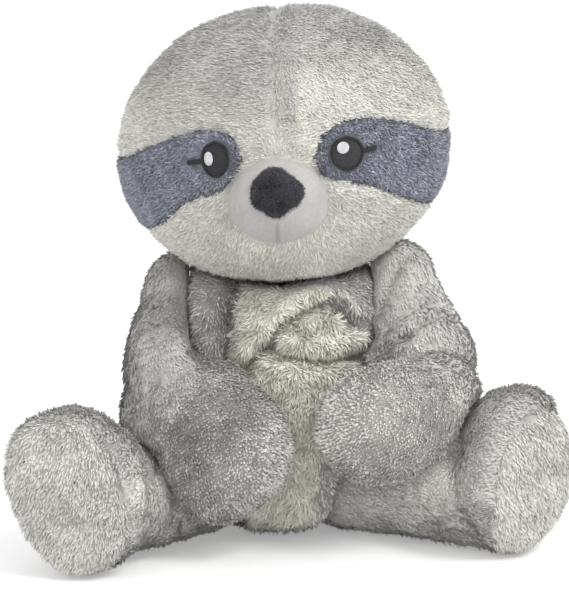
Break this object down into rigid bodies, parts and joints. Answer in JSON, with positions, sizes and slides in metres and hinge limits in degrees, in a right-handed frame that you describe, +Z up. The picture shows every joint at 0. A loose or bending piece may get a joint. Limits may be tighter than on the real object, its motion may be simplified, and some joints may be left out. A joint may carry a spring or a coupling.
{
  "type": "weighted plush toy",
  "caption": "Seated weighted plush sloth: sewn pile covers, fibre filling, bead pouches, and a neck, shoulders and hips that turn.",
  "frame": {"origin": "middle of the flat patch under the seat, on the surface that the toy sits on", "axes": "+Z up, -Y the way the toy faces, +X towards the toy's own left side"},
  "size_m": [0.3954, 0.2374, 0.3829],
  "materials": {
    "pile_grey": "matte",
    "pile_cream": "matte",
    "pile_slate": "matte",
    "velour_pale": "matte",
    "pile_black": "matte",
    "thread_black": "satin",
    "thread_white": "satin",
    "thread_grey": "matte",
    "fibre_filling": "matte",
    "liner_cloth": "matte",
    "weight_beads": "satin"
  },
  "bodies": {
    "torso": {"torso_cover": "pile_grey", "belly_panel": "pile_cream", "torso_filling": "fibre_filling", "seat_bead_pouch": "liner_cloth", "seat_beads": "weight_beads", "back_closing_thread": "thread_grey"},
    "head": {"head_cover_left": "pile_grey", "head_cover_right": "pile_grey", "head_filling": "fibre_filling", "mask_patch_left": "pile_slate", "mask_patch_right": "pile_slate", "eye_left": "thread_black", "eye_right": "thread_black", "eye_glint_left": "thread_white", "eye_glint_right": "thread_white", "muzzle_cover": "velour_pale", "muzzle_filling": "fibre_filling", "nose": "pile_black"},
    "arm_right": {"arm_cover_right": "pile_grey", "arm_filling_right": "fibre_filling", "hand_bead_pouch_right": "liner_cloth", "hand_beads_right": "weight_beads"},
    "arm_left": {"arm_cover_left": "pile_grey", "arm_filling_left": "fibre_filling", "hand_bead_pouch_left": "liner_cloth", "hand_beads_left": "weight_beads"},
    "leg_right": {"leg_cover_right": "pile_grey", "sole_panel_right": "pile_cream", "leg_filling_right": "fibre_filling", "foot_bead_pouch_right": "liner_cloth", "foot_beads_right": "weight_beads"},
    "leg_left": {"leg_cover_left": "pile_grey", "sole_panel_left": "pile_cream", "leg_filling_left": "fibre_filling", "foot_bead_pouch_left": "liner_cloth", "foot_beads_left": "weight_beads"}
  },
  "joints": [
    {"name": "neck", "type": "hinge", "parent": "torso", "child": "head", "pos_m": [0.006, -0.01018, 0.1981], "axis": [-0.0471, 0.0021, 0.9989], "range_deg": [-20, 20]},
    {"name": "shoulder_right", "type": "hinge", "parent": "torso", "child": "arm_right", "pos_m": [-0.066, 0.002, 0.17], "axis": [-1, 0, 0], "range_deg": [0, 45]},
    {"name": "shoulder_left", "type": "hinge", "parent": "torso", "child": "arm_left", "pos_m": [0.066, 0.002, 0.17], "axis": [-1, 0, 0], "range_deg": [0, 45]},
    {"name": "hip_right", "type": "hinge", "parent": "torso", "child": "leg_right", "pos_m": [-0.06, -0.034, 0.035], "axis": [0, 0, -1], "range_deg": [0, 15]},
    {"name": "hip_left", "type": "hinge", "parent": "torso", "child": "leg_left", "pos_m": [0.05, -0.022, 0.035], "axis": [0, 0, 1], "range_deg": [0, 15]}
  ]
}
